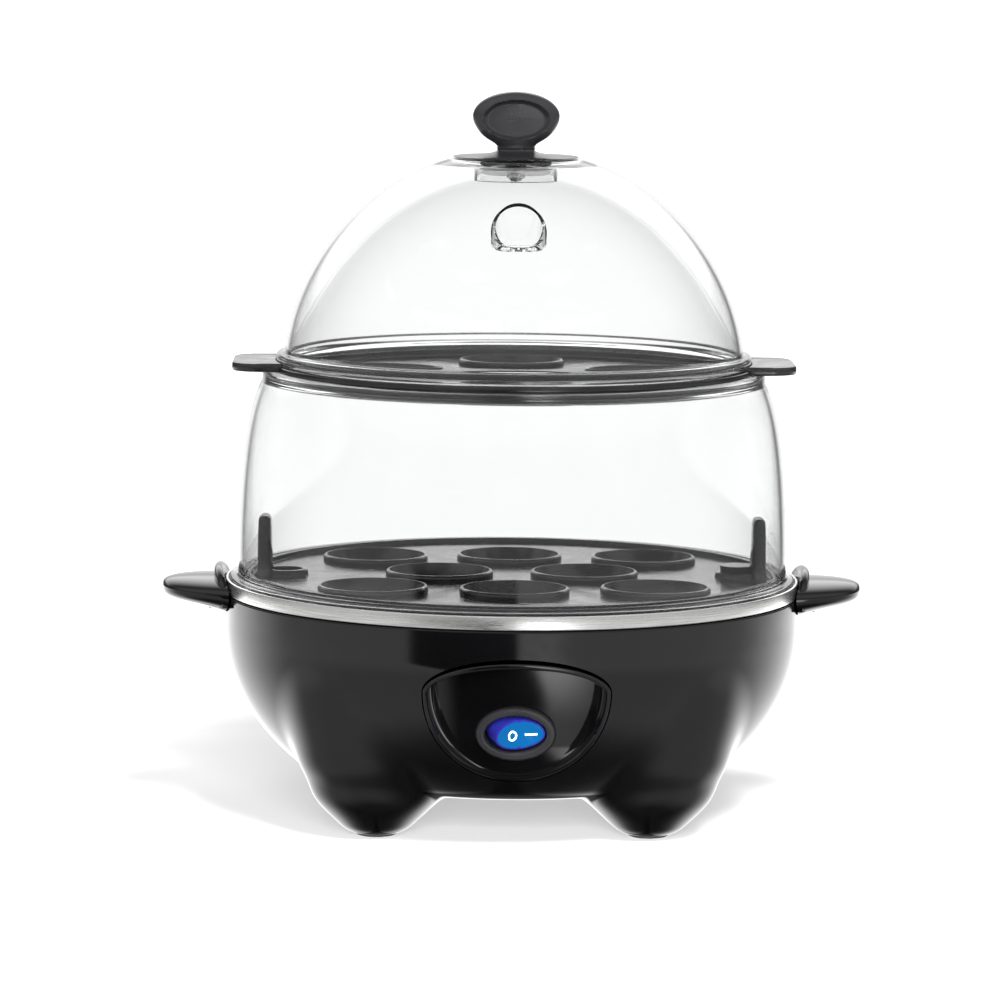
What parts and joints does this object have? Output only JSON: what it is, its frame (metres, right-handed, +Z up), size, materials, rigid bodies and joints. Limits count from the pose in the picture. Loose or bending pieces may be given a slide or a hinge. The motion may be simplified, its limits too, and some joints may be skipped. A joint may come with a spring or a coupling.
{
  "type": "egg cooker",
  "caption": "Tiered electric egg cooker: round heating base on bulging legs with a rocker switch, egg trays, a clear steam chamber and a clear domed lid with a knob.",
  "frame": {"origin": "on the table, under the middle of the base", "axes": "+Z up through the knob, front with the switch facing -Y, +X to the right of someone facing the front"},
  "size_m": [0.241, 0.198, 0.2492],
  "materials": {
    "gloss_black": "high gloss moulded plastic",
    "satin_black": "satin moulded plastic",
    "tray_black": "semi-gloss moulded plastic",
    "clear_plastic": "clear polished plastic",
    "brushed_steel": "turned and brushed stainless steel",
    "cast_aluminium": "cast aluminium",
    "zinc_plate": "zinc-plated steel",
    "brass": "stamped brass",
    "grey_rubber": "matt rubber",
    "white_silicone": "matt silicone",
    "lit_blue": "translucent blue plastic, lit from inside",
    "lamp_glass": "clear glass",
    "cream_nylon": "cream nylon",
    "brown_wire": "brown insulation",
    "blue_wire": "blue insulation",
    "white_sleeve": "white glass-fibre sleeve"
  },
  "bodies": {
    "base": {"base_housing": "gloss_black", "switch_panel": "gloss_black", "side_handle_left": "gloss_black", "side_handle_right": "gloss_black", "bottom_cover": "satin_black", "switch_frame": "satin_black", "buzzer": "satin_black", "heating_dish": "brushed_steel", "heater_plate": "cast_aluminium", "heating_element": "cast_aluminium", "cover_screw_1": "zinc_plate", "cover_screw_2": "zinc_plate", "cover_screw_3": "zinc_plate", "standoff_1": "zinc_plate", "standoff_2": "zinc_plate", "standoff_3": "zinc_plate", "thermostat_clip": "zinc_plate", "side_handle_left_screw_1": "zinc_plate", "side_handle_left_screw_2": "zinc_plate", "side_handle_right_screw_1": "zinc_plate", "side_handle_right_screw_2": "zinc_plate", "switch_terminal_1": "brass", "switch_terminal_2": "brass", "switch_terminal_3": "brass", "foot_pad_front_left": "grey_rubber", "foot_pad_front_right": "grey_rubber", "foot_pad_rear_left": "grey_rubber", "foot_pad_rear_right": "grey_rubber", "cord_gland": "grey_rubber", "rim_gasket": "white_silicone", "switch_lamp": "lamp_glass", "thermostat": "cream_nylon", "terminal_block": "cream_nylon", "feed_wire": "brown_wire", "live_wire": "brown_wire", "return_wire": "blue_wire", "neutral_wire": "blue_wire", "element_wire": "white_sleeve", "thermal_fuse": "white_sleeve"},
    "rocker": {"switch_rocker": "lit_blue"},
    "lower_tray": {"lower_egg_tray": "tray_black"},
    "chamber": {"steam_chamber": "clear_plastic"},
    "upper_tray": {"upper_egg_tray": "tray_black"},
    "lid": {"lid_dome": "clear_plastic", "vent_cup": "clear_plastic", "lid_knob": "satin_black", "knob_washer": "satin_black", "knob_screw": "zinc_plate"}
  },
  "joints": [
    {"name": "rocker_pivot", "type": "hinge", "parent": "base", "child": "rocker", "pos_m": [0, -0.08086, 0.04031], "axis": [0, -0.1908, 0.9816], "range_deg": [-36, 0]},
    {"name": "lower_tray_lift", "type": "slide", "parent": "base", "child": "lower_tray", "axis": [0, 0, 1], "range_m": [0, 0.05]},
    {"name": "chamber_lift", "type": "slide", "parent": "lower_tray", "child": "chamber", "axis": [0, 0, 1], "range_m": [0, 0.12]},
    {"name": "upper_tray_lift", "type": "slide", "parent": "chamber", "child": "upper_tray", "axis": [0, 0, 1], "range_m": [0, 0.06]},
    {"name": "lid_lift", "type": "slide", "parent": "upper_tray", "child": "lid", "axis": [0, 0, 1], "range_m": [0, 0.1]}
  ]
}
